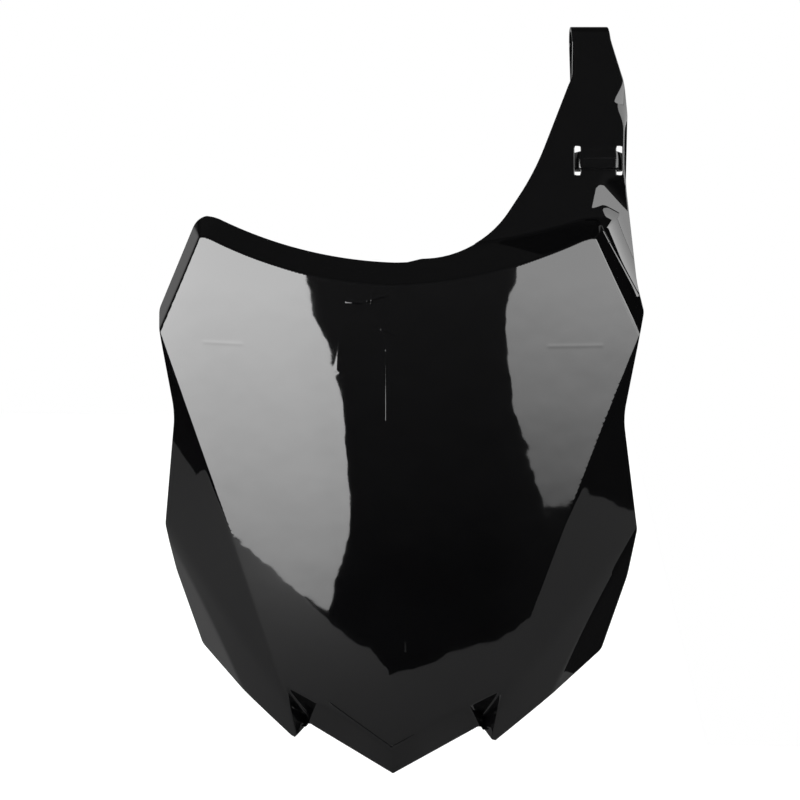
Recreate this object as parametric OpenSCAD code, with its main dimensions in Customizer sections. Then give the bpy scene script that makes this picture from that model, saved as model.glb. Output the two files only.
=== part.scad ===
// Racing number board: one glossy moulded plastic plate with a ridged face, swept cheeks,
// a flared flange, a notched bottom lip and one arm that hooks over the handlebar.
// Front faces -Y, up is +Z. The origin is the middle of the bolt hole in the rear lug.

/* [Shell] */
// Wall thickness of the moulding
wall = 2.4; // [1.6:0.1:3.2]
// Depth of the flared flange behind the face
flange_depth = 22; // [14:0.5:26]

/* [Face] */
// Roll radius of each half of the face
face_roll = 260; // [200:5:400]
// Angle that each half turns away from the centre ridge
ridge_angle = 2.87; // [1:0.1:8]
// Height of the face's top edge at the ridge
ridge_top_z = 57.6; // [50:0.5:65]
// Height of the lip crease at the ridge
ridge_foot_z = -179.7; // [-190:0.5:-170]

/* [Flange] */
// Curve of the top edge, seen along the flange
top_dip_radius = 450; // [350:10:600]
// Angle that the top flange rises toward the back
top_flare = 24.2; // [15:0.1:35]
// Angle that the side flange turns from the face
side_turn = 67.1; // [60:0.1:75]
// Angle that the side flange leans up
side_lean = -18.3; // [-25:0.1:-10]

/* [Cheeks] */
// Roll radius of the cheeks
cheek_roll = 320; // [250:10:500]
// Angle that the cheek turns from the front
cheek_turn = 36.5; // [33:0.1:40]
// Angle that the shoulder turns from the front
shoulder_turn = 44.6; // [42:0.1:50]
// Angle that the outer cheek turns from the front
outer_turn = 57.5; // [52:0.1:62]

/* [Lip and notches] */
// Angle that the bottom lip turns from the front
lip_turn = 19.3; // [10:0.1:30]
// Angle that the bottom lip leans down
lip_lean = 19.4; // [12:0.1:32]
// Distance of the notch apex from the centre
notch_x = 54.5; // [48:0.5:58]
// Height of the notch apex
notch_z = -149; // [-153:0.5:-145]

/* [Arm] */
// Angle that the arm leans back
arm_lean = 10.2; // [4:0.1:16]
// Angle that the arm turns toward the side
arm_turn = 5; // [0:0.5:10]
// Depth of the arm's front at its root
arm_depth = 47.4; // [42:0.2:52]
// Height of the arm's tip
arm_top_z = 187.3; // [175:0.5:200]
// Inside radius of the hook's bend
hook_radius = 7; // [5:0.5:10]
// Height of the hook's return leg
hook_leg = 30; // [20:0.5:36]

/* [Strap keeper] */
// Height of the two strap slots
slot_h = 15; // [12:0.5:18]
// Width of each slot
slot_w = 3; // [2:0.1:4]
// Distance between the slots' inner edges
slot_gap = 18.4; // [15:0.2:20]
// Width of the keeper band
band_h = 9.5; // [7:0.5:11]
// Thickness of the keeper band
band_t = 1.4; // [1:0.1:2]
// Room behind the arm for a strap
strap_room = 3.6; // [2:0.1:3.9]

/* [Rear lug] */
// Bore for an M6 bolt
bolt_d = 6.6; // [6:0.1:8.4]
// Distance of the bolt behind the ridge
bolt_back = 36; // [30:0.5:42]
// Width of the lug
lug_w = 26; // [20:0.5:34]
// Thickness of the lug
lug_t = 3; // [2:0.1:5]
// Height of the lug's top face
lug_z = -79; // [-90:0.5:-60]
// Thickness of the ribs
rib_t = 2; // [1.4:0.1:2.4]
// Height of the gusset under the lug
gusset_h = 62; // [40:1:70]

/* [Hidden] */
reach = 600;
face_fn = 240;
arm_root = [100, arm_depth, 98];
// Where the hook's bend starts, measured up the arm from its root
bend_z = (arm_top_z - arm_root[2]) / cos(arm_lean) - hook_radius - wall;
slot_x = 1.8;
slot_z = 20.2;
root_turn = 19.3;
root_start = 39;
edge_turn = 60;
side_rib_z = 26;
rib_depth = 10;
corner_r = 5;
corner_flare = 23;
function corner_at(phi) = [97.4 + corner_r * cos(phi), 24.1, 74.6 + corner_r * sin(phi)];
gusset_x = 5.5;

// Everything behind a flat or rolled panel whose middle stands at a point
module behind(at, turn, lean, roll = 0, inset = 0) {
    translate(at) rotate([lean, 0, turn])
        if (roll == 0)
            translate([-reach, inset, -reach]) cube([2 * reach, 2 * reach, 2 * reach]);
        else
            translate([0, roll, -reach]) cylinder(r = roll - inset, h = 2 * reach, $fn = face_fn);
}

module both_sides() {
    intersection() {
        children();
        mirror([1, 0, 0]) children();
    }
}

// Everything inside a flat panel that faces outward at phi in the front view and flares back
module inside_flare(at, phi, flare, inset) {
    translate(at) rotate([0, -phi, 0]) rotate([0, 0, -flare])
        translate([-2 * reach - inset, -reach, -reach]) cube(2 * reach);
}

module top_dip(inset) {
    translate([0, 0, ridge_top_z]) rotate([top_flare, 0, 0])
        translate([0, 0, top_dip_radius]) rotate([90, 0, 0])
            cylinder(r = top_dip_radius + inset, h = reach, center = true, $fn = face_fn);
}

module notch(inset) {
    difference() {
        translate([20, -20, notch_z - 50]) cube([60, 120, 60]);
        behind([notch_x, 8.6, notch_z], -49.2, -6, 0, inset);
        behind([notch_x, 8.6, notch_z], 34.7, 39.5, 0, inset);
        translate([39, 0, -156]) rotate([0, -22, 0])
            translate([-reach - inset, -reach, -reach]) cube([reach, 2 * reach, 2 * reach]);
    }
}

// The lip's panel ends at the valley of each notch
module lip(inset) {
    behind([0, 0, ridge_foot_z], lip_turn, lip_lean, 0, inset);
    translate([notch_x, 0, notch_z]) rotate([0, 30.5, 0])
        translate([0, -reach, -reach]) cube(2 * reach);
}

module body_region(inset) {
    difference() {
        intersection() {
            both_sides() behind([0, 0, 0], ridge_angle, 0, face_roll, inset);
            both_sides() behind([97, 24.5, -43], cheek_turn, 4.7, cheek_roll, inset);
            both_sides() behind([97, 31.1, -105], shoulder_turn, 11.5, cheek_roll, inset);
            both_sides() behind([106, 41.9, -107], outer_turn, 17.6, 0, inset);
            both_sides() behind([112, 32, 55], side_turn, side_lean, 0, inset);
            both_sides() lip(inset);
            both_sides() inside_flare(corner_at(55), 55, corner_flare, inset);
            both_sides() inside_flare(corner_at(84), 84, corner_flare, inset);
        }
        top_dip(inset);
        notch(inset);
        mirror([1, 0, 0]) notch(inset);
    }
}

module arm_region(inset) {
    intersection() {
        behind(arm_root, arm_turn, -arm_lean, 0, inset);
        behind(arm_root + [1.5, 0, -1], root_turn, 0, 0, inset);
        behind(arm_root + [13.2, 4.2, 27], edge_turn, -5.1, 0, inset);
        translate([25, 0, 45]) cube([reach, reach, reach]);
    }
}

module moulded_skin() {
    difference() {
        union() {
            body_region(0);
            arm_region(0);
        }
        union() {
            body_region(wall);
            arm_region(wall);
        }
    }
}

// Corner of an outline rounded to an arc, as a list of points
function unit(v) = v / norm(v);
function corner(a, b, c, r, n = 6) =
    r == 0 ? [b] :
    let (
        u = unit(a - b),
        v = unit(c - b),
        half = acos(u * v) / 2,
        centre = b + unit(u + v) * r / sin(half),
        start = b + u * r / tan(half),
        end = b + v * r / tan(half)
    )
    [for (i = [0:n]) centre + unit((start - centre) * (n - i) / n + (end - centre) * i / n) * r];

function rounded(path) =
    let (count = len(path))
    [for (i = [0:count - 1])
        let (a = path[(i + count - 1) % count], b = path[i], c = path[(i + 1) % count])
        each corner([a[0], a[1]], [b[0], b[1]], [c[0], c[1]], b[2])];

// Outlines from the front: x, z and corner radius
function dip(x, lift) = ridge_top_z + lift + x * x / 435;
body_side = concat(
    [[0, 40, 0]],
    [for (x = [0:12:84]) [x, dip(x, 11), 0]],
    [[102.4, 91.5, 8], [125.4, 40.5, 7], [115.4, -12, 45], [122.9, -72, 9], [118, -97, 40],
     [104.8, -136.4, 6], [51.3, -175.8, 0.8], [43.3, -168, 1.5], [0, -191.9, 0]]
);
arm_outline = [
    [-20, 40, 0], [-20, 67, 0], [42, 70.5, 60], [69, 112, 130], [85.6, 155.7, 0], [87.4, 157.5, 0],
    [87.4, arm_top_z + 5, 0], [103.6, arm_top_z + 5, 0], [104.6, arm_top_z, 0], [114.3, 157, 40],
    [116, 141, 20], [115.5, 105, 80], [121.5, 56, 60], [125, 40, 0]
];

module outline() {
    polygon(rounded(body_side));
    mirror([1, 0]) polygon(rounded(body_side));
    polygon(rounded(arm_outline));
}

module prism() {
    translate([0, 130, 0]) rotate([90, 0, 0]) linear_extrude(height = 160) children();
}

module on_arm() {
    translate(arm_root) rotate([-arm_lean, 0, arm_turn]) children();
}

// Where the skin may stand: the flange stops behind the face, the arm goes on back
module rear_trim() {
    difference() {
        translate([-reach / 2, -20, -reach / 2]) cube([reach, 160, reach]);
        difference() {
            intersection() {
                translate([0, flange_depth, 0]) both_sides() behind([0, 0, 0], ridge_angle, 0, face_roll);
                behind([6, flange_depth + 0.4, 0], 24, 0);
            }
            translate([-reach, -reach, -reach]) cube([2 * reach, 2 * reach, reach + 20]);
            translate([root_start, 0, 45]) cube([reach, reach, reach]);
        }
        on_arm() translate([-60, -20, bend_z]) cube([120, 140, 60]);
    }
}

// The tip of the arm bent back into a hook
module hook() {
    intersection() {
        on_arm() translate([-20, 0, bend_z]) rotate([90, 0, 90]) linear_extrude(height = 40) {
            translate([hook_radius + wall, 0]) difference() {
                circle(r = hook_radius + wall, $fn = 96);
                circle(r = hook_radius, $fn = 96);
                translate([-40, -80]) square([80, 80]);
            }
            translate([0, -3]) square([wall, 3.2]);
            translate([2 * hook_radius + wall, hook_radius + wall - hook_leg])
                square([wall, hook_leg - hook_radius - wall + 0.2]);
        }
        union() {
            prism() polygon(rounded(arm_outline));
            intersection() {
                on_arm() translate([-60, hook_radius + wall, 0]) cube([120, 60, 120]);
                translate([85.2, 0, 120]) cube([20, 120, 120]);
            }
        }
    }
}

module slots() {
    on_arm() translate([slot_x, 0, slot_z]) for (side = [-1, 1])
        translate([side * (slot_gap + slot_w) / 2 - slot_w / 2, -5, -slot_h / 2])
            cube([slot_w, 12, slot_h]);
}

// Loop that carries the strap: over the front, out through both slots and closed behind
module keeper() {
    half_front = slot_gap / 2 + 0.3;
    half_back = slot_gap / 2 + slot_w + band_t;
    back = wall + strap_room;
    on_arm() translate([slot_x, 0, slot_z - band_h / 2]) linear_extrude(height = band_h) difference() {
        polygon([[-half_front, -band_t], [half_front, -band_t], [half_back, back], [half_back, back + band_t],
            [-half_back, back + band_t], [-half_back, back]]);
        polygon([[-half_front + band_t, 0.1], [half_front - band_t, 0.1], [half_back - band_t, back],
            [-half_back + band_t, back]]);
    }
}

// Thin walls behind the face, each cut to the inside of the skin
module ribs() {
    difference() {
        intersection() {
            body_region(wall / 2);
            for (side = [-1, 1]) {
                translate([side * 91 - 15, 0, side_rib_z - rib_t / 2]) cube([30, 60, rib_t]);
                translate([side * 22 - rib_t / 2, 0, 15]) cube([rib_t, 60, 32]);
            }
        }
        translate([0, rib_depth, 0]) both_sides() behind([0, 0, 0], ridge_angle, 0, face_roll);
    }
}

module lug() {
    difference() {
        intersection() {
            body_region(wall / 2);
            union() {
                translate([-lug_w / 2, 0, lug_z - lug_t]) cube([lug_w, bolt_back, lug_t]);
                translate([0, bolt_back, lug_z - lug_t]) cylinder(r = lug_w / 2, h = lug_t, $fn = 96);
                translate([gusset_x, 0, lug_z - lug_t]) rotate([90, 0, 90])
                    linear_extrude(height = rib_t, center = true)
                        polygon([[0, 1], [bolt_back - bolt_d, 1], [bolt_back - bolt_d, -4], [8, -gusset_h], [0, -gusset_h]]);
            }
        }
        translate([0, bolt_back, lug_z - lug_t - 1]) cylinder(d = bolt_d, h = lug_t + 2, $fn = 64);
    }
}

module number_plate() {
    color("#15161a") translate([0, -bolt_back, lug_t / 2 - lug_z]) {
        difference() {
            intersection() {
                moulded_skin();
                prism() outline();
                rear_trim();
            }
            slots();
        }
        hook();
        keeper();
        ribs();
        lug();
    }
}

number_plate();
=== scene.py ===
"""Racing number board: one glossy black moulded plastic plate, seen nearly from the front.

The board is one piece of injection-moulded polypropylene: a ridged and rolled face, swept
cheeks, a flared flange at the top and sides, a notched lip, and one arm with a moulded strap
loop and a tip bent back into a hook. The sizes are the CAD part's own, in millimetres.
"""
import math

import bmesh
import bpy
import numpy as np
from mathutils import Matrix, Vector
from mathutils.geometry import delaunay_2d_cdt


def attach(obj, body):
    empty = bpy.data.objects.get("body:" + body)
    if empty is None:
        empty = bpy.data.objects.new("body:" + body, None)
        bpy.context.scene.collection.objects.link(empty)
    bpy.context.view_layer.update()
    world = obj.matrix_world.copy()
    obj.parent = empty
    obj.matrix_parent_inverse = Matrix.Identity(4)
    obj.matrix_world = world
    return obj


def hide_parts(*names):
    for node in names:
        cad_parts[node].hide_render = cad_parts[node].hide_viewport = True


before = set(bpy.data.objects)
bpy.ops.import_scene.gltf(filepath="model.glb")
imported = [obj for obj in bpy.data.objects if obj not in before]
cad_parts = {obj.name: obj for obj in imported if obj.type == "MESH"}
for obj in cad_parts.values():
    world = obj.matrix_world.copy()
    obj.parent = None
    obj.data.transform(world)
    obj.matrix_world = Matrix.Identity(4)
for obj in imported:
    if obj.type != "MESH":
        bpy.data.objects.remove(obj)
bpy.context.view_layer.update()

# Camera: a long lens a little to the right of the board's middle and a little above it,
# one and a half metres away, so that the ridge shows left of centre and the arm's root turns.
view_azimuth, view_elevation, view_distance = math.radians(4.5), math.radians(6.5), 1.5
aim = Vector((0.004, -0.036, 0.0805))
toward_camera = Vector((
    math.sin(view_azimuth) * math.cos(view_elevation),
    -math.cos(view_azimuth) * math.cos(view_elevation),
    math.sin(view_elevation),
))
camera = bpy.data.objects.new("camera", bpy.data.cameras.new("camera"))
bpy.context.scene.collection.objects.link(camera)
camera.data.lens = 135
camera.data.sensor_width = 36
camera.data.clip_end = 50
camera.location = aim + view_distance * toward_camera
camera.rotation_euler = (-toward_camera).to_track_quat("-Z", "Y").to_euler()
bpy.context.scene.camera = camera
bpy.context.scene.view_settings.view_transform = "Standard"

# The skin: one moulded sheet about two and a half millimetres thick, drawn as a front and a
# back surface over the same plan. Its panels are flat or rolled, and the mould rounds the
# edges where they meet. Its wall, panels and outline are those of the part's source, in millimetres.
wall = 2.4
# A depth in front of everything, for a panel that isn't there.
nowhere = -100


def turned(turn, lean):
    """Rotation that leans about X and then turns about Z, as a matrix."""
    c, s = math.cos(math.radians(turn)), math.sin(math.radians(turn))
    cl, sl = math.cos(math.radians(lean)), math.sin(math.radians(lean))
    return np.array([[c, -s * cl, s * sl], [s, c * cl, -c * sl], [0, sl, cl]])


def panel(x, z, at, turn, lean=0, roll=0, inset=0):
    """Depth of a flat or rolled panel through a point, where the line along Y at x, z meets it.

    A flat one is a plane. A rolled one is a cylinder of radius roll, and the line meets it where
    a quadratic is zero. Past the cylinder's side the depth rises steeply.
    """
    axes = turned(turn, lean)
    start = (x - at[0])[..., None] * axes[0] + (z - at[2])[..., None] * axes[2]
    step = axes[1]
    if roll == 0:
        return at[1] + (inset - start[..., 1]) / step[1]
    a = step[0] ** 2 + step[1] ** 2
    b = start[..., 0] * step[0] + (start[..., 1] - roll) * step[1]
    c = start[..., 0] ** 2 + (start[..., 1] - roll) ** 2 - (roll - inset) ** 2
    room = b * b - a * c
    return at[1] + (-b - np.sqrt(np.maximum(room, 0))) / a + 4 * np.sqrt(np.maximum(-room, 0))


def deeper(a, b, soft):
    """The larger of two depths, rounded over where they differ by less than soft."""
    return np.maximum(a, b) + np.maximum(soft - np.abs(a - b), 0) ** 2 / (4 * soft)


def nearer(a, b, soft):
    """The smaller of two depths, rounded in where they differ by less than soft."""
    return -deeper(-a, -b, soft)


face_roll, ridge_angle, ridge_soft = 260, 2.87, 0.22


def face_depth(x, z, inset=0):
    """Two rolled halves that meet in the centre ridge."""
    halves = [panel(side * x, z, (0, 0, 0), ridge_angle, 0, face_roll, inset) for side in (1, -1)]
    return deeper(halves[0], halves[1], ridge_soft)


corner_x, corner_y, corner_z, corner_r, corner_flare = 97.4, 24.1, 74.6, 5, 23


def corner_depth(x, z, phi, inset):
    """A small flat at the top corner, facing outward at phi and flaring back."""
    p, f = math.radians(phi), math.radians(corner_flare)
    at = (corner_x + corner_r * math.cos(p), corner_y, corner_z + corner_r * math.sin(p))
    reach = math.cos(p) * (x - at[0]) + math.sin(p) * (z - at[2])
    return at[1] + (math.cos(f) * reach + inset) / math.sin(f)


top_dip_radius, top_flare, ridge_top_z = 450, 24.2, 57.6


def dip_depth(x, z, inset):
    """The top flange: a wide cylinder with a tilted axis that the board stays outside of."""
    t = math.radians(top_flare)
    sag = top_dip_radius - np.sqrt((top_dip_radius + inset) ** 2 - x * x)
    return ((z - ridge_top_z) * math.cos(t) - sag) / math.sin(t)


notch_x, notch_y, notch_z, notch_soft = 54.5, 8.6, -149, 2.4
notch_walls = [(-49.2, -6), (34.7, 39.5)]
notch_from_x, notch_to_x, notch_rise = 20, 80, 10
step_x, step_z, step_slant, step_steep, step_soft = 39, -156, 22, 9, 0.8


def lip_step(x, z):
    """How far past the slanted line where the lip ends and the notch begins."""
    slant = math.radians(step_slant)
    return (x - step_x) * math.cos(slant) + (z - step_z) * math.sin(slant)


def notch_depth(x, z, base, inset):
    """Two slanted walls that meet in a valley, and a steep step back up to the lip."""
    at = (notch_x, notch_y, notch_z)
    outer, inner = (panel(x, z, at, turn, lean, 0, inset) for turn, lean in notch_walls)
    valley = nearer(outer, inner, notch_soft)
    walls = nearer(valley, base + step_steep * (lip_step(x, z) + inset), step_soft)
    here = (z < notch_z + notch_rise) & (x > notch_from_x) & (x < notch_to_x)
    return np.where(here, walls, nowhere)


# Each panel has a point on it (x, depth, z), its turn about Z, its lean about X, and how softly
# it joins the panels before it.
cheek_at, cheek_turn, cheek_lean, cheek_roll, cheek_soft = (97, 24.5, -43), 36.5, 4.7, 320, 0.3
shoulder_at, shoulder_turn, shoulder_lean, shoulder_soft = (97, 31.1, -105), 44.6, 11.5, 0.9
outer_at, outer_turn, outer_lean, outer_soft = (106, 41.9, -107), 57.5, 17.6, 0.8
side_at, side_turn, side_lean, side_soft = (112, 32, 55), 67.1, -18.3, 2.0
lip_at, lip_turn, lip_lean, lip_soft, lip_cut, lip_end = (0, 0, -179.7), 19.3, 19.4, 0.5, 30.5, 0.5
corner_turns, corner_soft, top_soft, notch_edge = (55, 84), 2.5, 1.3, 0.7


def body_depth(x, z, inset=0):
    """All the panels of the board's body, each rounded into the last."""
    ax = np.abs(x)
    y = face_depth(x, z, inset)
    y = deeper(y, panel(ax, z, cheek_at, cheek_turn, cheek_lean, cheek_roll, inset), cheek_soft)
    y = deeper(y, panel(ax, z, shoulder_at, shoulder_turn, shoulder_lean, cheek_roll, inset), shoulder_soft)
    y = deeper(y, panel(ax, z, outer_at, outer_turn, outer_lean, 0, inset), outer_soft)
    lip = panel(ax, z, lip_at, lip_turn, lip_lean, 0, inset)
    cut = math.radians(lip_cut)
    past = (ax - notch_x) * math.cos(cut) - (z - notch_z) * math.sin(cut) > 0
    past &= lip_step(ax, z) > lip_end
    y = deeper(y, np.where(past, nowhere, lip), lip_soft)
    y = deeper(y, panel(ax, z, side_at, side_turn, side_lean, 0, inset), side_soft)
    corner = deeper(*(corner_depth(ax, z, turn, inset) for turn in corner_turns), corner_soft)
    top = deeper(corner, dip_depth(x, z, inset), corner_soft)
    y = deeper(y, top, top_soft)
    return deeper(y, notch_depth(ax, z, y, inset), notch_edge)


arm_lean, arm_turn, arm_depth, arm_top_z = 10.2, 5, 47.4, 187.3
arm_root = np.array([100, arm_depth, 98.0])
# The root's panels rise or fall from the arm's front across slanted lines through x and z.
root_shift, root_turn, root_soft = [1.5, 0, -1], 19.3, 0.9
hollow_rise, hollow_x, hollow_z, hollow_slant, hollow_soft = 0.30, 98.3, 97.5, 0.2, 0.8
shoulder_fall, shoulder_z, shoulder_rise, shoulder_x, shoulder_slant = 0.246, 115.8, 0.10, 125, 0.065
edge_shift, edge_turn, edge_lean, edge_soft = [13.2, 4.2, 27], 60, -5.1, 0.6
bulge_soft, bulge_z, bulge_reach = 10, 147, 7.5


def arm_front_depth(x, z, inset=0):
    """The arm's flat front, its turned root and its turned right edge, rounder where it bulges."""
    y = panel(x, z, arm_root, arm_turn, -arm_lean, 0, inset)
    root = panel(x, z, arm_root + root_shift, root_turn, 0, 0, inset)
    hollow_side = y + hollow_rise * (x - hollow_x - hollow_slant * (z - hollow_z))
    shoulder = y + shoulder_fall * (shoulder_z - z) + shoulder_rise * (x - shoulder_x + shoulder_slant * z)
    y = deeper(y, nearer(deeper(root, hollow_side, hollow_soft), shoulder, root_soft), root_soft)
    soft = edge_soft + bulge_soft * np.exp(-((z - bulge_z) / bulge_reach) ** 2)
    return deeper(y, panel(x, z, arm_root + edge_shift, edge_turn, edge_lean, 0, inset), soft)


# The arm's front fades away from the board left of one x and below one z.
fillet, fillet_more, fillet_x, fillet_reach = 5, 10, 88, 16
arm_from_x, arm_fade_x, arm_from_z, arm_fade_z = 45, 0.02, 49, 0.4


def skin_depth(x, z, inset=0):
    """Body and arm joined, with a fillet in the valley between them that widens to the right."""
    away = arm_fade_x * np.maximum(arm_from_x - x, 0) ** 2 + arm_fade_z * np.maximum(arm_from_z - z, 0) ** 2
    soft = fillet + fillet_more * np.clip((x - fillet_x) / fillet_reach, 0, 1)
    return nearer(body_depth(x, z, inset), arm_front_depth(x, z, inset) + away, soft)


hook_radius, hook_leg, hook_from_x = 7, 30, 60
bend_z = (arm_top_z - arm_root[2]) / math.cos(math.radians(arm_lean)) - hook_radius - wall


def skin_point(x, z, inset=0):
    """A point of the sheet. Above the bend the plan is wound round the hook and down its leg."""
    x, z = np.asarray(x, float), np.asarray(z, float)
    flat = np.stack([x, skin_depth(x, z, inset), z], -1)
    lean, turn = math.radians(arm_lean), math.radians(arm_turn)
    up = (z - arm_root[2]) / math.cos(lean)
    across = (x - arm_root[0] + up * math.sin(lean) * math.sin(turn)) / math.cos(turn)
    outside = hook_radius + wall
    middle = hook_radius + wall / 2
    past = np.maximum(up - bend_z, 0)
    wound = np.minimum(past / middle, math.pi)
    down = np.maximum(past - math.pi * middle, 0)
    radius = outside - inset
    local = np.stack([across, outside - radius * np.cos(wound), bend_z + radius * np.sin(wound) - down], -1)
    hooked = arm_root + local @ turned(arm_turn, -arm_lean).T
    return np.where(((up > bend_z) & (x > hook_from_x))[..., None], hooked, flat)


def skin_normal(x, z, inset=0, h=0.02):
    """The sheet's direction, from how its point moves with x and with z."""
    along = skin_point(x + h, z, inset) - skin_point(x - h, z, inset)
    rise = skin_point(x, z + h, inset) - skin_point(x, z - h, inset)
    n = np.cross(along, rise)
    return n / np.linalg.norm(n, axis=-1, keepdims=True)


arc_steps, shortest = 12, 0.15


def rounded(path):
    """A closed outline of x, z, radius rows with each corner turned into an arc."""
    path = np.array(path, float)
    out = []
    for (ax, az, _), (bx, bz, r), (cx, cz, _) in zip(np.roll(path, 1, 0), path, np.roll(path, -1, 0)):
        b = np.array([bx, bz])
        if r == 0:
            out.append(b[None])
            continue
        u = np.array([ax, az]) - b
        v = np.array([cx, cz]) - b
        u, v = u / np.linalg.norm(u), v / np.linalg.norm(v)
        half = math.acos(np.clip(u @ v, -1, 1)) / 2
        middle = (u + v) / np.linalg.norm(u + v)
        centre = b + middle * r / math.sin(half)
        start, end = b + u * r / math.tan(half) - centre, b + v * r / math.tan(half) - centre
        t = np.linspace(0, 1, arc_steps + 1)[:, None]
        ray = start * (1 - t) + end * t
        out.append(centre + ray / np.linalg.norm(ray, axis=1, keepdims=True) * r)
    return np.concatenate(out)


def respaced(loop, gap):
    """The same closed loop with points no further apart than gap."""
    after = np.roll(loop, -1, 0)
    out = []
    for a, b in zip(loop, after):
        n = max(1, int(np.ceil(np.linalg.norm(b - a) / gap)))
        out.append(a + (b - a) * (np.arange(n) / n)[:, None])
    out = np.concatenate(out)
    keep = np.linalg.norm(out - np.roll(out, 1, 0), axis=1) > shortest
    return out[keep]


top_edge_rise, top_edge_bow = 11, 435


def dip_edge(x):
    """Height of the top edge: a parabola above the ridge's top."""
    return ridge_top_z + top_edge_rise + x * x / top_edge_bow


# The plan's outline, from the bottom tip up the left side, along the top, round the arm and down
# the right side. Each row is x, z and the corner's radius.
left_side = [[0, -191.9, 0], [-43.3, -168, 1.5], [-51.3, -175.8, 0.8], [-104.8, -136.4, 6], [-118, -97, 40],
             [-122.9, -72, 9], [-115.4, -12, 45], [-125.4, 40.5, 7], [-102.4, 91.5, 8]]
top_edge = [[x, dip_edge(x), 0] for x in range(-84, 9, 12)]
leg_top = bend_z + math.pi * (hook_radius + wall / 2) + hook_leg - hook_radius - wall
leg_z = arm_root[2] + leg_top * math.cos(math.radians(arm_lean))
bend_flat = 16
bent_z = arm_root[2] + (bend_z + bend_flat) * math.cos(math.radians(arm_lean))
arm_side = [[14, 69.3, 6], [42, 70.5, 50], [69, 112, 130], [85.6, 155.7, 3], [87.4, 160, 3],
            [87.5, 179, 8], [86.6, bent_z, 10], [86.9, leg_z, 1.2], [106.4, leg_z, 1.2],
            [105.3, bent_z, 10], [107.2, 179, 30], [114.3, 157, 40], [116, 141, 20], [115.5, 105, 80],
            [121.5, 56, 60]]
right_side = [[-x, z, r] for x, z, r in left_side[7:0:-1]]
plan_gap = 1.0
plan = respaced(rounded(left_side + top_edge + arm_side + right_side), plan_gap)[::-1]
# The flange's rear edge, and where the arm's root begins, which is left whole.
flange_depth, flange_from_z, flange_rear_turn, root_start, root_from_z = 22, 20, 24, 39, 45
flange_rear_at = (6, flange_depth + 0.4, 0)


def trimmed(x, z, y):
    """True where the flange would reach past its rear edge."""
    rear = np.maximum(face_depth(x, z), 0) + flange_depth
    limit = np.maximum(rear, panel(x, z, flange_rear_at, flange_rear_turn))
    return (y > limit) & (z > flange_from_z) & ~((x > root_start) & (z > root_from_z))


pull_middle, pull_most, halvings = np.array([0, 15.0]), 0.5, 26


def pulled_in(loop, inset):
    """The plan's edge moved toward the middle until the flange ends at its rear edge."""
    low, high = np.zeros(len(loop)), np.full(len(loop), pull_most)
    for _ in range(halvings):
        t = (low + high) / 2
        p = loop + (pull_middle - loop) * t[:, None]
        cut = trimmed(p[:, 0], p[:, 1], skin_depth(p[:, 0], p[:, 1], inset))
        low, high = np.where(cut, t, low), np.where(cut, high, t)
    start = trimmed(loop[:, 0], loop[:, 1], skin_depth(loop[:, 0], loop[:, 1], inset))
    return np.where(start[:, None], loop + (pull_middle - loop) * high[:, None], loop)


def outward(loop):
    """Directions in the plan that point out of a loop that runs anticlockwise."""
    t = np.roll(loop, -1, 0) - np.roll(loop, 1, 0)
    n = np.stack([t[:, 1], -t[:, 0]], -1)
    return n / np.maximum(np.linalg.norm(n, axis=1, keepdims=True), 1e-9)


def edge_ring(loop, inset, edge, h=0.05):
    """Plan points, 3-D points and outward tangents of a sheet's edge, drawn in by its rounding."""
    out = outward(loop)
    slope = (skin_point(loop[:, 0] + out[:, 0] * h, loop[:, 1] + out[:, 1] * h, inset)
             - skin_point(loop[:, 0] - out[:, 0] * h, loop[:, 1] - out[:, 1] * h, inset)) / (2 * h)
    length = np.linalg.norm(slope, axis=1, keepdims=True)
    drawn = loop - out * edge / length
    return drawn, skin_point(drawn[:, 0], drawn[:, 1], inset), slope / length


slot_h, slot_w, slot_gap, slot_x, slot_z, slot_corner = 15, 3, 18.4, 1.8, 20.2, 0.3


def slot_loops(gap):
    """The two strap slots in the plan, running clockwise, because they are holes."""
    lean, turn = math.radians(arm_lean), math.radians(arm_turn)
    loops = []
    for side in (-1, 1):
        cx, hw, hh = slot_x + side * (slot_gap + slot_w) / 2, slot_w / 2, slot_h / 2
        signs = ((-1, -1), (1, -1), (1, 1), (-1, 1))
        corners = [[cx + sx * hw, slot_z + sz * hh, slot_corner] for sx, sz in signs]
        local = respaced(rounded(corners), gap)
        x = arm_root[0] + local[:, 0] * math.cos(turn) - local[:, 1] * math.sin(lean) * math.sin(turn)
        z = arm_root[2] + local[:, 1] * math.cos(lean)
        loops.append(np.stack([x, z], -1)[::-1])
    return loops


def inside(points, loop):
    """Which points lie inside a closed loop, by counting the edges crossed on the way out."""
    a, b = loop, np.roll(loop, -1, 0)
    crossed = np.zeros(len(points), bool)
    for (ax, az), (bx, bz) in zip(a, b):
        if az != bz:
            spans = (az > points[:, 1]) != (bz > points[:, 1])
            crossed ^= spans & (points[:, 0] < ax + (points[:, 1] - az) * (bx - ax) / (bz - az))
    return crossed


def bending(points, step, inset):
    """How far the sheet's direction turns over one step from each point."""
    here = skin_normal(points[:, 0], points[:, 1], inset)
    turn = np.zeros(len(points))
    for dx, dz in ((step, 0), (-step, 0), (0, step), (0, -step)):
        there = skin_normal(points[:, 0] + dx, points[:, 1] + dz, inset)
        turn = np.maximum(turn, np.linalg.norm(there - here, axis=1))
    return turn


def pattern(low, high, step):
    """Points in a six-sided pattern over a rectangle: rows step * 0.866 apart, every other one shifted."""
    x, z = np.meshgrid(np.arange(low[0], high[0], step), np.arange(low[1], high[1], step * 0.866))
    x = x + (np.arange(len(x)) % 2)[:, None] * step / 2
    return np.stack([x.ravel(), z.ravel()], -1)


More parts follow.
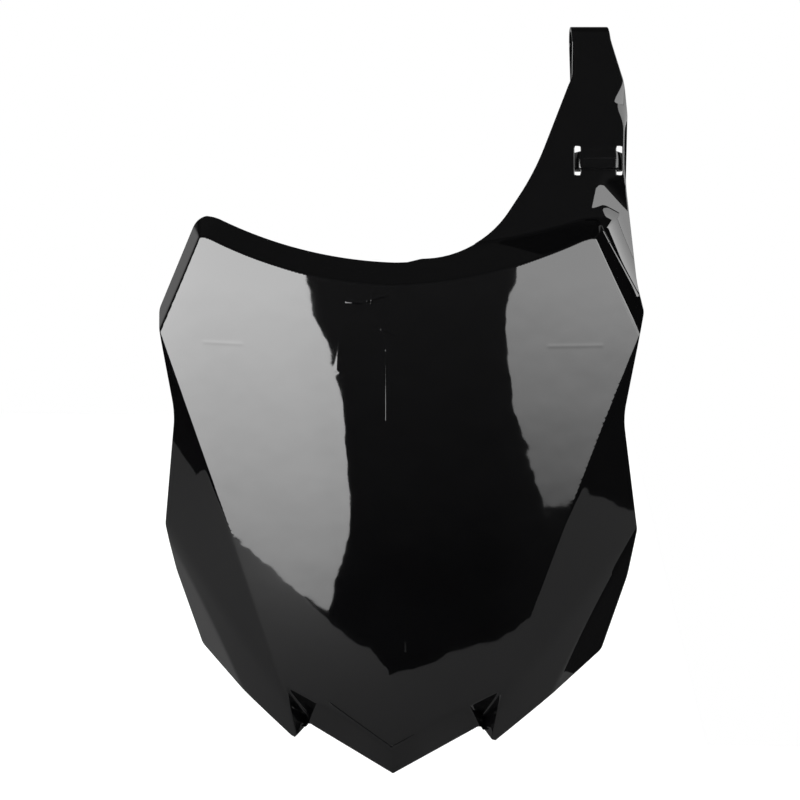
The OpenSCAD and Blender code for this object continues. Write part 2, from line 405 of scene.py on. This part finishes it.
# How far the sheet turns from point to point where it counts as bent, how close points may lie
# to the edge and to each other, and the box round each notch.
bent, notch_bent, edge_room, finest_room, at_once = 0.035, 0.05, 0.45, 0.7, 4000
notch_middle_x, notch_drop, notch_half_x, notch_half_z, notch_clear = 46.5, 12, 10, 15, 16


def filling(loops, inset, gap, fine, finest):
    """Points that fill a plan: the pattern, finer where the sheet bends, finest in the notches."""
    corners = loops[0].min(0), loops[0].max(0)
    points, close = pattern(*corners, gap), pattern(*corners, fine)
    flat, curved = bending(points, fine, inset) <= bent, bending(close, fine, inset) > bent
    points = np.concatenate([points[flat], close[curved]])
    for side in (-1, 1):
        middle = np.array([side * notch_middle_x, notch_z - notch_drop])
        half = np.array([notch_half_x, notch_half_z])
        close = pattern(middle - half, middle + half, finest)
        close = close[bending(close, finest, inset) > notch_bent]
        away = np.abs(points - middle).max(1) > notch_clear
        gaps = ((close[None] - points[~away][:, None]) ** 2).sum(-1).min(1)
        points = np.concatenate([points[away], points[~away][gaps > (finest_room * finest) ** 2], close])
    keep = inside(points, loops[0])
    for hole in loops[1:]:
        keep &= ~inside(points, hole)
    points = points[keep]
    edge = np.concatenate(loops)
    near = np.zeros(len(points), bool)
    for start in range(0, len(points), at_once):
        some = points[start:start + at_once]
        gaps = ((some[:, None, :] - edge[None]) ** 2).sum(-1).min(1)
        near[start:start + at_once] = gaps < edge_room ** 2
    return points[~near]


def sheet_faces(loops, points):
    """Triangles over a plan with holes, with the loops' edges kept.

    Returns the plan points, the faces, and for each plan point its place in the input or -1.
    """
    rims = np.concatenate(loops)
    edges, start = [], 0
    for loop in loops:
        n = len(loop)
        edges += [(start + i, start + (i + 1) % n) for i in range(n)]
        start += n
    every = np.concatenate([rims, points])
    coords, _, faces, source, _, _ = delaunay_2d_cdt([Vector(p) for p in every], edges, [], 0, 1e-6)
    place = np.array([s[0] if s else -1 for s in source])
    spots = np.array([[c[0], c[1]] for c in coords])
    faces = np.array([f for f in faces if len(f) == 3])
    middle = spots[faces].mean(1)
    keep = inside(middle, loops[0])
    for hole in loops[1:]:
        keep &= ~inside(middle, hole)
    return spots, faces[keep], place


def add_mesh(name, vertices, faces, normals=None):
    """A piece from row-frame points, smooth, with its own normals where they are known."""
    mesh = bpy.data.meshes.new(name)
    mesh.from_pydata(vertices.tolist(), [], [list(f) for f in faces])
    mesh.validate()
    mesh.polygons.foreach_set("use_smooth", np.ones(len(mesh.polygons), bool))
    if normals is not None:
        mesh.normals_split_custom_set_from_vertices(normals.tolist())
    mesh.update()
    piece = bpy.data.objects.new(name, mesh)
    bpy.context.scene.collection.objects.link(piece)
    return piece


bolt_back, lug_t, lug_z = 36, 3, -79
row_place = np.array([0, -bolt_back, lug_t / 2 - lug_z])


def to_row(points):
    """Plate millimetres to the row frame's metres."""
    return (points + row_place) / 1000


# The rim's rounding, and how far apart the mesh's points are: on flats, in bends, in the notches.
rim, slot_mesh_gap = 0.45, 0.8
front_gaps, back_gaps = (2.0, 0.55, 0.24), (3.0, 0.9, 0.5)
rim_turns, rim_fullness, rim_sharpness = (35, 62, 90, 118, 145), 0.45, 1.6


def one_side(loops, inset, gaps, sign, first):
    """One surface: points, normals, faces numbered from first, and each edge ring with its numbers."""
    drawn = [edge_ring(loop, inset, rim) for loop in loops]
    rims = [ring[0] for ring in drawn]
    spots, faces, source = sheet_faces(rims, filling(rims, inset, *gaps))
    numbers = np.zeros(source.max() + 1, int)
    numbers[source[source >= 0]] = np.nonzero(source >= 0)[0] + first
    ends = np.cumsum([len(ring) for ring in rims])
    rings = [(d[1], d[2], numbers[end - len(d[0]):end]) for d, end in zip(drawn, ends)]
    points = skin_point(spots[:, 0], spots[:, 1], inset)
    normals = sign * skin_normal(spots[:, 0], spots[:, 1], inset)
    return points, normals, faces[:, ::sign] + first, rings


def moulded_skin():
    """Front sheet, back sheet and the rounded rims that join them at the edge and the slots.

    A rim's section is half a squared-off ellipse between the two sheets' edges.
    """
    slots = slot_loops(slot_mesh_gap)
    front = one_side([pulled_in(plan, 0)] + slots, 0, front_gaps, 1, 0)
    back = one_side([pulled_in(plan, wall)] + slots, wall, back_gaps, -1, len(front[0]))
    vertices, normals, faces = ([front[k], back[k]] for k in range(3))
    count = len(front[0]) + len(back[0])
    for (near, near_out, near_ids), (far, far_out, far_ids) in zip(front[3], back[3]):
        out = (near_out + far_out) / 2
        out /= np.linalg.norm(out, axis=1, keepdims=True)
        middle, half = (near + far) / 2, (near - far) / 2
        across = half / np.linalg.norm(half, axis=1, keepdims=True)
        columns = [near_ids]
        for turn in rim_turns:
            c, s = math.cos(math.radians(turn)), math.sin(math.radians(turn))
            bow = math.copysign(abs(c) ** rim_fullness, c)
            vertices.append(middle + half * bow + out * rim * s ** rim_fullness)
            n = across * math.copysign(abs(c) ** rim_sharpness, c) + out * s
            normals.append(n / np.linalg.norm(n, axis=1, keepdims=True))
            columns.append(np.arange(len(n)) + count)
            count += len(n)
        columns.append(far_ids)
        for a, b in zip(columns[:-1], columns[1:]):
            faces.append(np.stack([a, b, np.roll(b, -1), np.roll(a, -1)], -1))
    every = [face for part in faces for face in part.tolist()]
    return add_mesh("number_plate_skin", to_row(np.concatenate(vertices)), every, np.concatenate(normals))


skin = moulded_skin()


# The plastic: black polypropylene with a high gloss, straight from a polished mould. The skin
# waves a little where it cooled, and thin lines show where a rib stands behind the face.
class Field:
    """A shader value. Arithmetic on it adds Math nodes."""

    def __init__(self, tree, socket):
        self.tree, self.socket = tree, socket

    def math(self, operation, *others):
        """One Math node, with this value first."""
        values = {i: v for i, v in enumerate((self,) + others)}
        return node(self.tree, "ShaderNodeMath", {"operation": operation}, values)

    def __add__(self, other):
        return self.math("ADD", other)

    __radd__ = __add__

    def __mul__(self, other):
        return self.math("MULTIPLY", other)

    __rmul__ = __mul__

    def __sub__(self, other):
        return self.math("SUBTRACT", other)

    def __rsub__(self, other):
        return (self * -1) + other

    def clamped(self):
        """The value, kept between zero and one."""
        return self.math("MAXIMUM", 0.0).math("MINIMUM", 1.0)


def node(tree, kind, settings=None, values=None, out=0):
    """A node of a kind, with its settings first and then its sockets' values or links."""
    made = tree.nodes.new(kind)
    for key, value in (settings or {}).items():
        setattr(made, key, value)
    for key, value in (values or {}).items():
        if isinstance(value, Field):
            tree.links.new(value.socket, made.inputs[key])
        else:
            made.inputs[key].default_value = value
    return Field(tree, made.outputs[out]) if len(made.outputs) else None


def fresh_tree(owner):
    """An owner's node tree, emptied."""
    owner.use_nodes = True
    owner.node_tree.nodes.clear()
    return owner.node_tree


def grey(level):
    """A colour without hue."""
    return level, level, level, 1


def axes_of(tree, coordinates):
    """A coordinate output of Texture Coordinate, whole and split into X, Y and Z."""
    spot = node(tree, "ShaderNodeTexCoord", out=coordinates)
    split = tree.nodes.new("ShaderNodeSeparateXYZ")
    tree.links.new(spot.socket, split.inputs[0])
    return spot, *(Field(tree, socket) for socket in split.outputs)


def soft_line(x, z, line, wide):
    """A soft line from x0, z0 to x1, z1: one on it, falling to nothing over its width."""
    (x0, z0), (x1, z1) = line
    length = math.hypot(x1 - x0, z1 - z0)
    ux, uz = (x1 - x0) / length, (z1 - z0) / length
    along = (x - x0) * ux + (z - z0) * uz
    across = (x - x0) * uz - (z - z0) * ux
    beyond = (along - length).math("MAXIMUM", along * -1).math("MAXIMUM", 0.0)
    far = (across * across + beyond * beyond) * (1 / wide ** 2)
    return (far * -1).math("EXPONENT")


# Marks in the front, each a line between two x, z points in metres, its half width and its
# height. First come the lines over the ribs, then the flow marks below the top edge, then the
# moulding line along the right flange, and last the crease across the lip, which sinks.
marks = [
    (((-0.0280, 0.0950), (-0.0250, 0.1180)), 0.0011, 0.000035),
    (((-0.0030, 0.0700), (-0.0030, 0.1055)), 0.0003, 0.00004),
    (((-0.0030, 0.1055), (-0.0055, 0.1160)), 0.0003, 0.00003),
    (((-0.0055, 0.1160), (0.0020, 0.1130)), 0.0003, 0.00003),
    (((0.0067, -0.0470), (0.0064, -0.0020)), 0.0003, 0.00008),
    (((-0.098, 0.1065), (-0.078, 0.1065)), 0.0010, 0.00002),
    (((0.078, 0.1065), (0.104, 0.1060)), 0.0010, 0.000018),
    (((-0.0230, 0.1295), (-0.0155, 0.1290)), 0.0006, 0.00004),
    (((-0.0125, 0.1300), (-0.0020, 0.1330)), 0.0004, 0.00004),
    (((-0.0105, 0.1290), (-0.0095, 0.1345)), 0.0005, 0.00005),
    (((0.1035, 0.1654), (0.1076, 0.1577)), 0.0003, 0.00011),
    (((0.1076, 0.1577), (0.1240, 0.1274)), 0.0003, 0.00011),
    (((0.1240, 0.1274), (0.1256, 0.1182)), 0.0003, 0.00011),
    (((-0.0321, -0.0742), (-0.0003, -0.0958)), 0.0006, -0.00012),
    (((-0.0003, -0.0958), (0.0387, -0.0749)), 0.0006, -0.00012),
]
wave_height, slow_height, ripple_height, grain_height = 0.00011, 0.0002, 0.00003, 0.0000006
gloss, haze_rough, band_rough, line_rough = 0.012, 0.03, 0.14, 0.16
band_line, band_wide = ((0.0965, 0.1985), (0.1085, 0.1990)), 0.0062
line_from_x, line_to_x, line_wide = 0.0940, 0.1110, 0.0003
line_heights = [(0.1941, 0.1951), (0.1997, 0.1998), (0.2039, 0.2048)]
darkest, palest = (0.0006, 0.0006, 0.0007, 1), (0.0014, 0.0014, 0.0015, 1)


def black_plastic():
    """Glossy moulded plastic: long soft waves, a fine grain and the marks, and a duller strap band."""
    material = bpy.data.materials.new("black_plastic")
    tree = fresh_tree(material)
    spot, x, _, z = axes_of(tree, 3)

    def noise(scale, detail, roughness=0.5):
        return node(tree, "ShaderNodeTexNoise", None, {
            "Vector": spot, "Scale": scale, "Detail": detail, "Roughness": roughness})

    height = noise(26.0, 2.0, 0.45) * wave_height + noise(9.0, 1.0, 0.4) * slow_height
    height = height + noise(85.0, 1.0, 0.4) * ripple_height + noise(900.0, 2.0) * grain_height
    for line, wide, high in marks:
        height = height + soft_line(x, z, line, wide) * high
    bump = node(tree, "ShaderNodeBump", None, {"Strength": 1.0, "Distance": 1.0, "Height": height})
    haze = noise(40.0, 6.0, 0.7)
    rough = haze * haze_rough + gloss + soft_line(x, z, band_line, band_wide) * band_rough
    for low, high in line_heights:
        rough = rough + soft_line(x, z, ((line_from_x, low), (line_to_x, high)), line_wide) * line_rough
    tone = node(tree, "ShaderNodeMix", {"data_type": "RGBA"}, {"Factor": haze, 6: darkest, 7: palest}, out=2)
    shader = node(tree, "ShaderNodeBsdfPrincipled", None, {
        "Base Color": tone, "Roughness": rough, "Normal": bump, "IOR": 1.5})
    node(tree, "ShaderNodeOutputMaterial", None, {0: shader})
    return material


plastic = black_plastic()


def in_plastic(piece):
    """The plastic on a piece of the board, which stands in for the solid."""
    piece.data.materials.clear()
    piece.data.materials.append(plastic)
    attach(piece, "root")
    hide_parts("number_plate")


in_plastic(skin)
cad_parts["number_plate"].data.materials.clear()
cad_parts["number_plate"].data.materials.append(plastic)

# The strap loop: a thin faceted band that stands just in front of the arm, passes out through
# both slots and closes behind, moulded in one with the arm. A strap slides in behind it.
band_h, band_t, strap_room, band_gap = 9.5, 1.4, 3.6, 0.7
band_inset, band_corner, band_rear_corner = 0.1, 0.35, 1.2


def on_arm(local):
    """Points given across, into and up the arm, put where the arm is."""
    return arm_root + local @ turned(arm_turn, -arm_lean).T


def grid_faces(n, m, closed=True):
    """Four-sided faces between n rings of m points, with the last ring joined to the first if closed."""
    i, j = np.meshgrid(np.arange(n if closed else n - 1), np.arange(m), indexing="ij")
    after, beside = (i + 1) % n, (j + 1) % m
    return np.stack([i * m + j, after * m + j, after * m + beside, i * m + beside], -1).reshape(-1, 4)


def swept_loop(name, path, section, place):
    """A closed section carried round a closed path. Path rows are across and in, section rows up and out."""
    t = np.roll(path, -1, 0) - np.roll(path, 1, 0)
    t /= np.linalg.norm(t, axis=1, keepdims=True)
    out = np.stack([t[:, 1], -t[:, 0]], -1)
    flat = path[:, None, :] + out[:, None, :] * section[None, :, 1:2]
    points = np.stack([flat[..., 0], flat[..., 1], np.broadcast_to(section[None, :, 0], flat.shape[:2])], -1)
    return add_mesh(name, to_row(place(points.reshape(-1, 3))), grid_faces(len(path), len(section)).tolist())


def strap_loop():
    """The band's middle line is a trapezium, and its front has three long facets."""
    h, t = band_h / 2, band_t / 2
    front, rear, back = slot_gap / 2 + band_inset, slot_gap / 2 + slot_w + t, wall + strap_room + t
    corners = [[-front, -t, band_corner], [front, -t, band_corner],
               [rear, back, band_rear_corner], [-rear, back, band_rear_corner]]
    path = respaced(rounded(corners), band_gap)
    section = np.array([
        [h, 0.0], [h - 0.05, 0.28], [h - 0.3, 0.42], [1.2, 0.66], [0.95, 0.69], [0.7, t], [-3.2, t],
        [-3.45, 0.69], [-3.7, 0.65], [0.3 - h, 0.4], [0.05 - h, 0.26], [-h, 0.0],
        [0.05 - h, -0.45], [0.3 - h, -t], [h - 0.3, -t], [h - 0.05, -0.45],
    ])
    return swept_loop("strap_loop", path, section, lambda p: on_arm(p + [slot_x, 0, slot_z]))


in_plastic(strap_loop())

# The ribs: thin walls moulded on the back of the face, two upright ones near the middle, one
# across behind each cheek, and the gusset under the lug. They are half a wall deep in the skin.
rib_t, rib_depth, sharp_edge = 2, 10, math.radians(42)
upright_rib_x, upright_rib_z, side_rib_x, side_rib_z = 22, (15, 47), (76, 106), 26
gusset_x, gusset_h, gusset_foot, gusset_room = 5.5, 62, 8, 6.6


def face_line(x, z, extra):
    """A line on the face's panels, moved back from them by extra."""
    return np.stack([x, np.maximum(face_depth(x, z), 0) + extra, z], -1)


def tidy_normals(piece):
    """Faces of a small closed piece turned outward, and its sharp edges marked."""
    work = bmesh.new()
    work.from_mesh(piece.data)
    bmesh.ops.recalc_face_normals(work, faces=work.faces)
    for edge in work.edges:
        edge.smooth = edge.calc_face_angle(0) < sharp_edge
    work.to_mesh(piece.data)
    work.free()


def rib(name, x, z, back, side):
    """A wall from the skin's middle to a back line, with a rounded rear edge. Side is half its thickness."""
    front, half = face_line(x, z, wall / 2), np.array(side) * rib_t / 2
    steps = [(0, 1), (0.35, 1), (0.7, 1), (0.94, 1), (0.985, 0.8), (1, 0.45)]
    steps += [(f, -s) for f, s in steps[::-1]]
    points = np.stack([front + (back - front) * f + half * s for f, s in steps], 1)
    n, m = points.shape[:2]
    faces = grid_faces(n, m, closed=False).tolist()
    faces += [list(range(m))[::-1], [(n - 1) * m + k for k in range(m)]]
    piece = add_mesh(name, to_row(points.reshape(-1, 3)), faces)
    tidy_normals(piece)
    return piece


for side, word in ((-1, "left"), (1, "right")):
    z = np.linspace(*upright_rib_z, 17)
    x = np.full_like(z, side * upright_rib_x)
    in_plastic(rib(f"upright_rib_{word}", x, z, face_line(x, z, rib_depth), [1, 0, 0]))
    x = side * np.linspace(*side_rib_x, 21)
    z = np.full_like(x, side_rib_z)
    in_plastic(rib(f"side_rib_{word}", x, z, face_line(x, z, rib_depth), [0, 0, 1]))
down = np.concatenate([np.linspace(-gusset_h, -4, 24), [-2.5, 1.0]])
z = down + lug_z - lug_t
x = np.full_like(z, gusset_x)
back_y = np.interp(down, [-gusset_h, -4], [gusset_foot, bolt_back - gusset_room])
in_plastic(rib("lug_gusset", x, z, np.stack([x, back_y, z], -1), [1, 0, 0]))

# The rear lug: a flat tongue moulded across the back of the face, with a round end and a
# clearance hole for an M6 bolt. Its hole's middle is the part's origin.
bolt_d, lug_w, lug_root, lug_round, lug_bevel, lug_turns = 6.6, 26, 1.9, 0.35, 0.1, 144


def rear_lug():
    """Rings run round the hole, from its wall over the top to the tongue's edge and back below."""
    turn = np.linspace(0, 2 * math.pi, lug_turns + 1)[:-1]
    c, s = np.cos(turn), np.sin(turn)
    half, root = lug_w / 2, bolt_back - lug_root
    straight = np.minimum(half / np.maximum(np.abs(c), 1e-6), root / np.maximum(-s, 1e-6))
    reach = np.where(s >= 0, half, straight)
    hole = np.full_like(reach, bolt_d / 2)
    between = hole * 0.6 + reach * 0.4
    top, low = 0.0, -float(lug_t)
    rings = [(hole, low + lug_round), (hole, top - lug_round), (hole + lug_bevel, top - lug_bevel),
             (hole + lug_round, top), (between, top), (reach - lug_round, top),
             (reach - lug_bevel, top - lug_bevel), (reach, top - lug_round), (reach, low + lug_round),
             (reach - lug_bevel, low + lug_bevel), (reach - lug_round, low), (between, low),
             (hole + lug_round, low), (hole + lug_bevel, low + lug_bevel)]
    points = np.stack([
        np.stack([r * c, bolt_back + r * s, np.full_like(r, h + lug_z)], -1) for r, h in rings])
    faces = grid_faces(len(rings), len(turn))[:, [0, 3, 2, 1]]
    piece = add_mesh("rear_lug", to_row(points.reshape(-1, 3)), faces.tolist())
    tidy_normals(piece)
    return piece


in_plastic(rear_lug())

# The table: pale and flat. It ends in front of the board along a line that comes nearest in the
# middle, and the face mirrors that line. The camera sees it lit up to white, with its shadow kept.
floor_z, table_tone, table_glow = -0.1119, 0.26, 0.88
table_front = [(-0.85, 0.03), (-0.69, -0.05), (-0.68, -0.48), (-0.5, -0.5), (-0.34, -0.47),
               (-0.22, -0.41), (-0.1, -0.35), (-0.04, -0.285), (0.05, -0.305), (0.113, -0.343),
               (0.16, -0.344), (0.22, -0.345), (0.325, -0.378), (0.59, -0.45)]
table_rear, table_right_rear, table_right_x = 1.5, 0.045, 0.15


def studio_floor():
    """Strips from the front line straight back to the rear edge, which is nearer on the right."""
    rear = [table_rear if x < table_right_x else table_right_rear for x, _ in table_front]
    points = np.array([(x, y, floor_z) for x, y in table_front]
                      + [(x, y, floor_z) for (x, _), y in zip(table_front, rear)])
    n = len(table_front)
    piece = add_mesh("floor", points, [[i, i + 1, n + i + 1, n + i] for i in range(n - 1)])
    material = bpy.data.materials.new("pale_table")
    tree = fresh_tree(material)
    matte = node(tree, "ShaderNodeBsdfDiffuse", None, {"Color": grey(table_tone)})
    white = node(tree, "ShaderNodeEmission", None, {"Color": grey(1), "Strength": table_glow})
    bright = node(tree, "ShaderNodeAddShader", None, {0: matte, 1: white})
    seen = node(tree, "ShaderNodeLightPath", out="Is Camera Ray")
    shader = node(tree, "ShaderNodeMixShader", None, {0: seen, 1: matte, 2: bright})
    node(tree, "ShaderNodeOutputMaterial", None, {0: shader})
    piece.data.materials.append(material)


studio_floor()

# The room: white to the camera and through glass. What the plastic mirrors of it is dimmer: grey
# walls behind to the left and straight behind, and a dark studio in front and above.
left_glow, straight_glow, front_glow, overhead_glow = 0.4, 0.35, 0.15, 0.35
right_glow, least_glow = 0.025, 0.008


def room():
    """Each part of the room is a product of ramps along the three axes of the direction."""
    world = bpy.data.worlds.new("room")
    bpy.context.scene.world = world
    tree = fresh_tree(world)
    _, x, y, z = axes_of(tree, 0)
    behind = ((y - 0.45) * 5).clamped()
    left = (x * -5 - 1.5).clamped()
    straight = (x.math("ABSOLUTE") * -6 + 3.3).clamped()
    right = (x * 5 - 2).clamped() * (z * -8).clamped()
    low = ((0.5 - z) * 5).clamped()
    overhead = ((z - 0.5) * 6).clamped()
    front = ((0.25 - y) * 4).clamped().math("MAXIMUM", overhead * overhead_glow)
    rise = ((z + 0.17) * 8).clamped()
    dim = 1 - (z * 5).clamped() * 0.4
    light = behind * left * low * left_glow + front * rise * dim * front_glow
    light = light + behind * straight * low * straight_glow + right * right_glow + least_glow
    dark = node(tree, "ShaderNodeBackground", None, {"Color": grey(1), "Strength": light})
    white = node(tree, "ShaderNodeBackground", None, {"Color": grey(1), "Strength": 1.0})
    camera_ray = node(tree, "ShaderNodeLightPath", out="Is Camera Ray")
    glass_ray = node(tree, "ShaderNodeLightPath", out="Is Transmission Ray")
    shader = node(tree, "ShaderNodeMixShader", None, {0: camera_ray + glass_ray, 1: dark, 2: white})
    node(tree, "ShaderNodeOutputWorld", None, {0: shader})


room()

# The softboxes: three lit cards, left and right of the camera and beside the arm, whose edges
# draw the bright shapes that the plastic mirrors. The camera doesn't see them. Each outline's
# corners are azimuth and elevation in degrees, seen from the middle of the face.
card_middle, card_distance, card_dimmest = np.array([0, -0.03, 0.05]), 2.0, 0.3
left_card = [(-76, -4), (-70, -7), (-60, -9.5), (-53, -10), (-44, -10.9), (-34.5, -11.9), (-27, -12.6),
             (-24.5, -11.4), (-21.2, -9.9), (-21, -8.9), (-22.2, -7.3), (-23, -5.6), (-25, -4.6),
             (-28.4, -3.3), (-31, -2.3), (-32.8, -1.4), (-34, 2), (-36, 16), (-76, 16)]
right_card = [(84, -3), (84, 20), (34, 20), (33, 2), (32.5, -1.4), (30.5, -2.2), (29.7, -3.2),
              (30.6, -4.2), (31.6, -5.6), (33.2, -6.5), (36.4, -7.5), (39, -8.5), (40.4, -8.9),
              (48.3, -8.8), (51, -8.3), (60, -5.5)]
side_card = [(85, -2), (100, 2), (106, 10), (120, 12), (120, 28), (104, 42), (88, 48), (56, 48),
             (56, 21), (85, 21)]


def softbox(name, corners, strength, fade):
    """A card on a sphere round the face, dimmer below by fade for each metre."""
    a, e = np.radians(np.array(corners, float)).T
    away = np.stack([np.sin(a) * np.cos(e), -np.cos(a) * np.cos(e), np.sin(e)], -1)
    piece = add_mesh(name, card_middle + card_distance * away, [list(range(len(a)))])
    material = bpy.data.materials.new(name)
    tree = fresh_tree(material)
    z = axes_of(tree, 3)[3]
    rise = (z * fade + 1).math("MINIMUM", 1.0).math("MAXIMUM", card_dimmest)
    glow = node(tree, "ShaderNodeEmission", None, {"Color": grey(1), "Strength": rise * strength})
    node(tree, "ShaderNodeOutputMaterial", None, {0: glow})
    piece.data.materials.append(material)
    piece.visible_camera = False


softbox("softbox_left", left_card, 11.7, 1.6)
softbox("softbox_right", right_card, 5.8, 2.7)
softbox("softbox_side", side_card, 4.5, 0.0)


# The lamps: four soft ones that light the table in front and behind, and the board a little from
# above. They are left out of reflections.
def lamp(name, place, aim, size, power):
    """A square lamp at a place, turned toward its aim."""
    light = bpy.data.objects.new(name, bpy.data.lights.new(name, "AREA"))
    bpy.context.scene.collection.objects.link(light)
    light.data.size = size
    light.data.energy = power
    light.location = place
    light.rotation_euler = (Vector(aim) - Vector(place)).to_track_quat("-Z", "Y").to_euler()
    light.visible_glossy = False


lamp("table_left", (-0.48, -0.75, 0.2), (-0.35, -0.4, -0.11), 0.3, 10.4)
lamp("table_right", (0.62, -0.6, 0.45), (0.5, -0.4, -0.11), 0.35, 1.5)
lamp("table_back", (-0.05, 0.85, 0.6), (-0.05, 0.55, -0.11), 0.5, 5.5)
lamp("overhead", (-0.3, 0.1, 1.7), (0, 0, 0), 1.2, 3.0)
